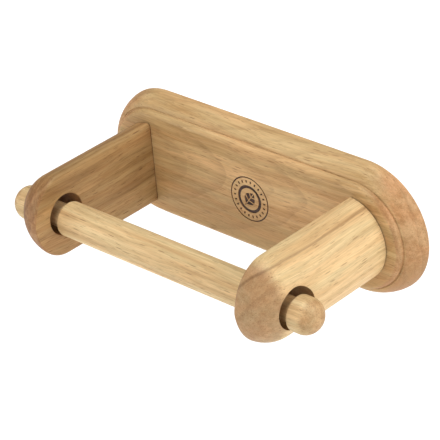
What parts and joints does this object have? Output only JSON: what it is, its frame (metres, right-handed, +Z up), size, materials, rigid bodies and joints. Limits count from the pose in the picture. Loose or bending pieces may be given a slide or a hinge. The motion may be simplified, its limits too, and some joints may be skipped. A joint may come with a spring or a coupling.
{
  "type": "toilet paper holder",
  "caption": "Wall-mounted wooden toilet paper holder: a rounded back plate with half-round arms that carry a loose wooden rod.",
  "frame": {"origin": "centre of the back plate's flat back face, which lies against the wall", "axes": "+X along the rod, to the right seen from the front; +Y back into the wall; +Z up"},
  "size_m": [0.195, 0.096, 0.068],
  "materials": {
    "plate_wood": "light honey hardwood, oiled satin, grain along the plate",
    "arm_wood": "light honey hardwood, oiled satin, grain along the arm",
    "rod_wood": "light hardwood dowel, oiled satin, grain along the rod",
    "hanger_steel": "pressed sheet steel, yellow zinc plated",
    "screw_steel": "bright zinc plated"
  },
  "bodies": {
    "holder": {"back_plate": "plate_wood", "left_arm": "arm_wood", "right_arm": "arm_wood", "left_hanger_plate": "hanger_steel", "left_arm_upper_screw": "screw_steel", "left_hanger_upper_screw": "screw_steel", "left_arm_lower_screw": "screw_steel", "left_hanger_lower_screw": "screw_steel", "right_hanger_plate": "hanger_steel", "right_arm_upper_screw": "screw_steel", "right_hanger_upper_screw": "screw_steel", "right_arm_lower_screw": "screw_steel", "right_hanger_lower_screw": "screw_steel"},
    "rod": {"roller_rod": "rod_wood"}
  },
  "joints": [
    {"name": "rod_slide", "type": "slide", "parent": "holder", "child": "rod", "axis": [1, 0, 0], "range_m": [-0.1595, 0.1595]}
  ]
}
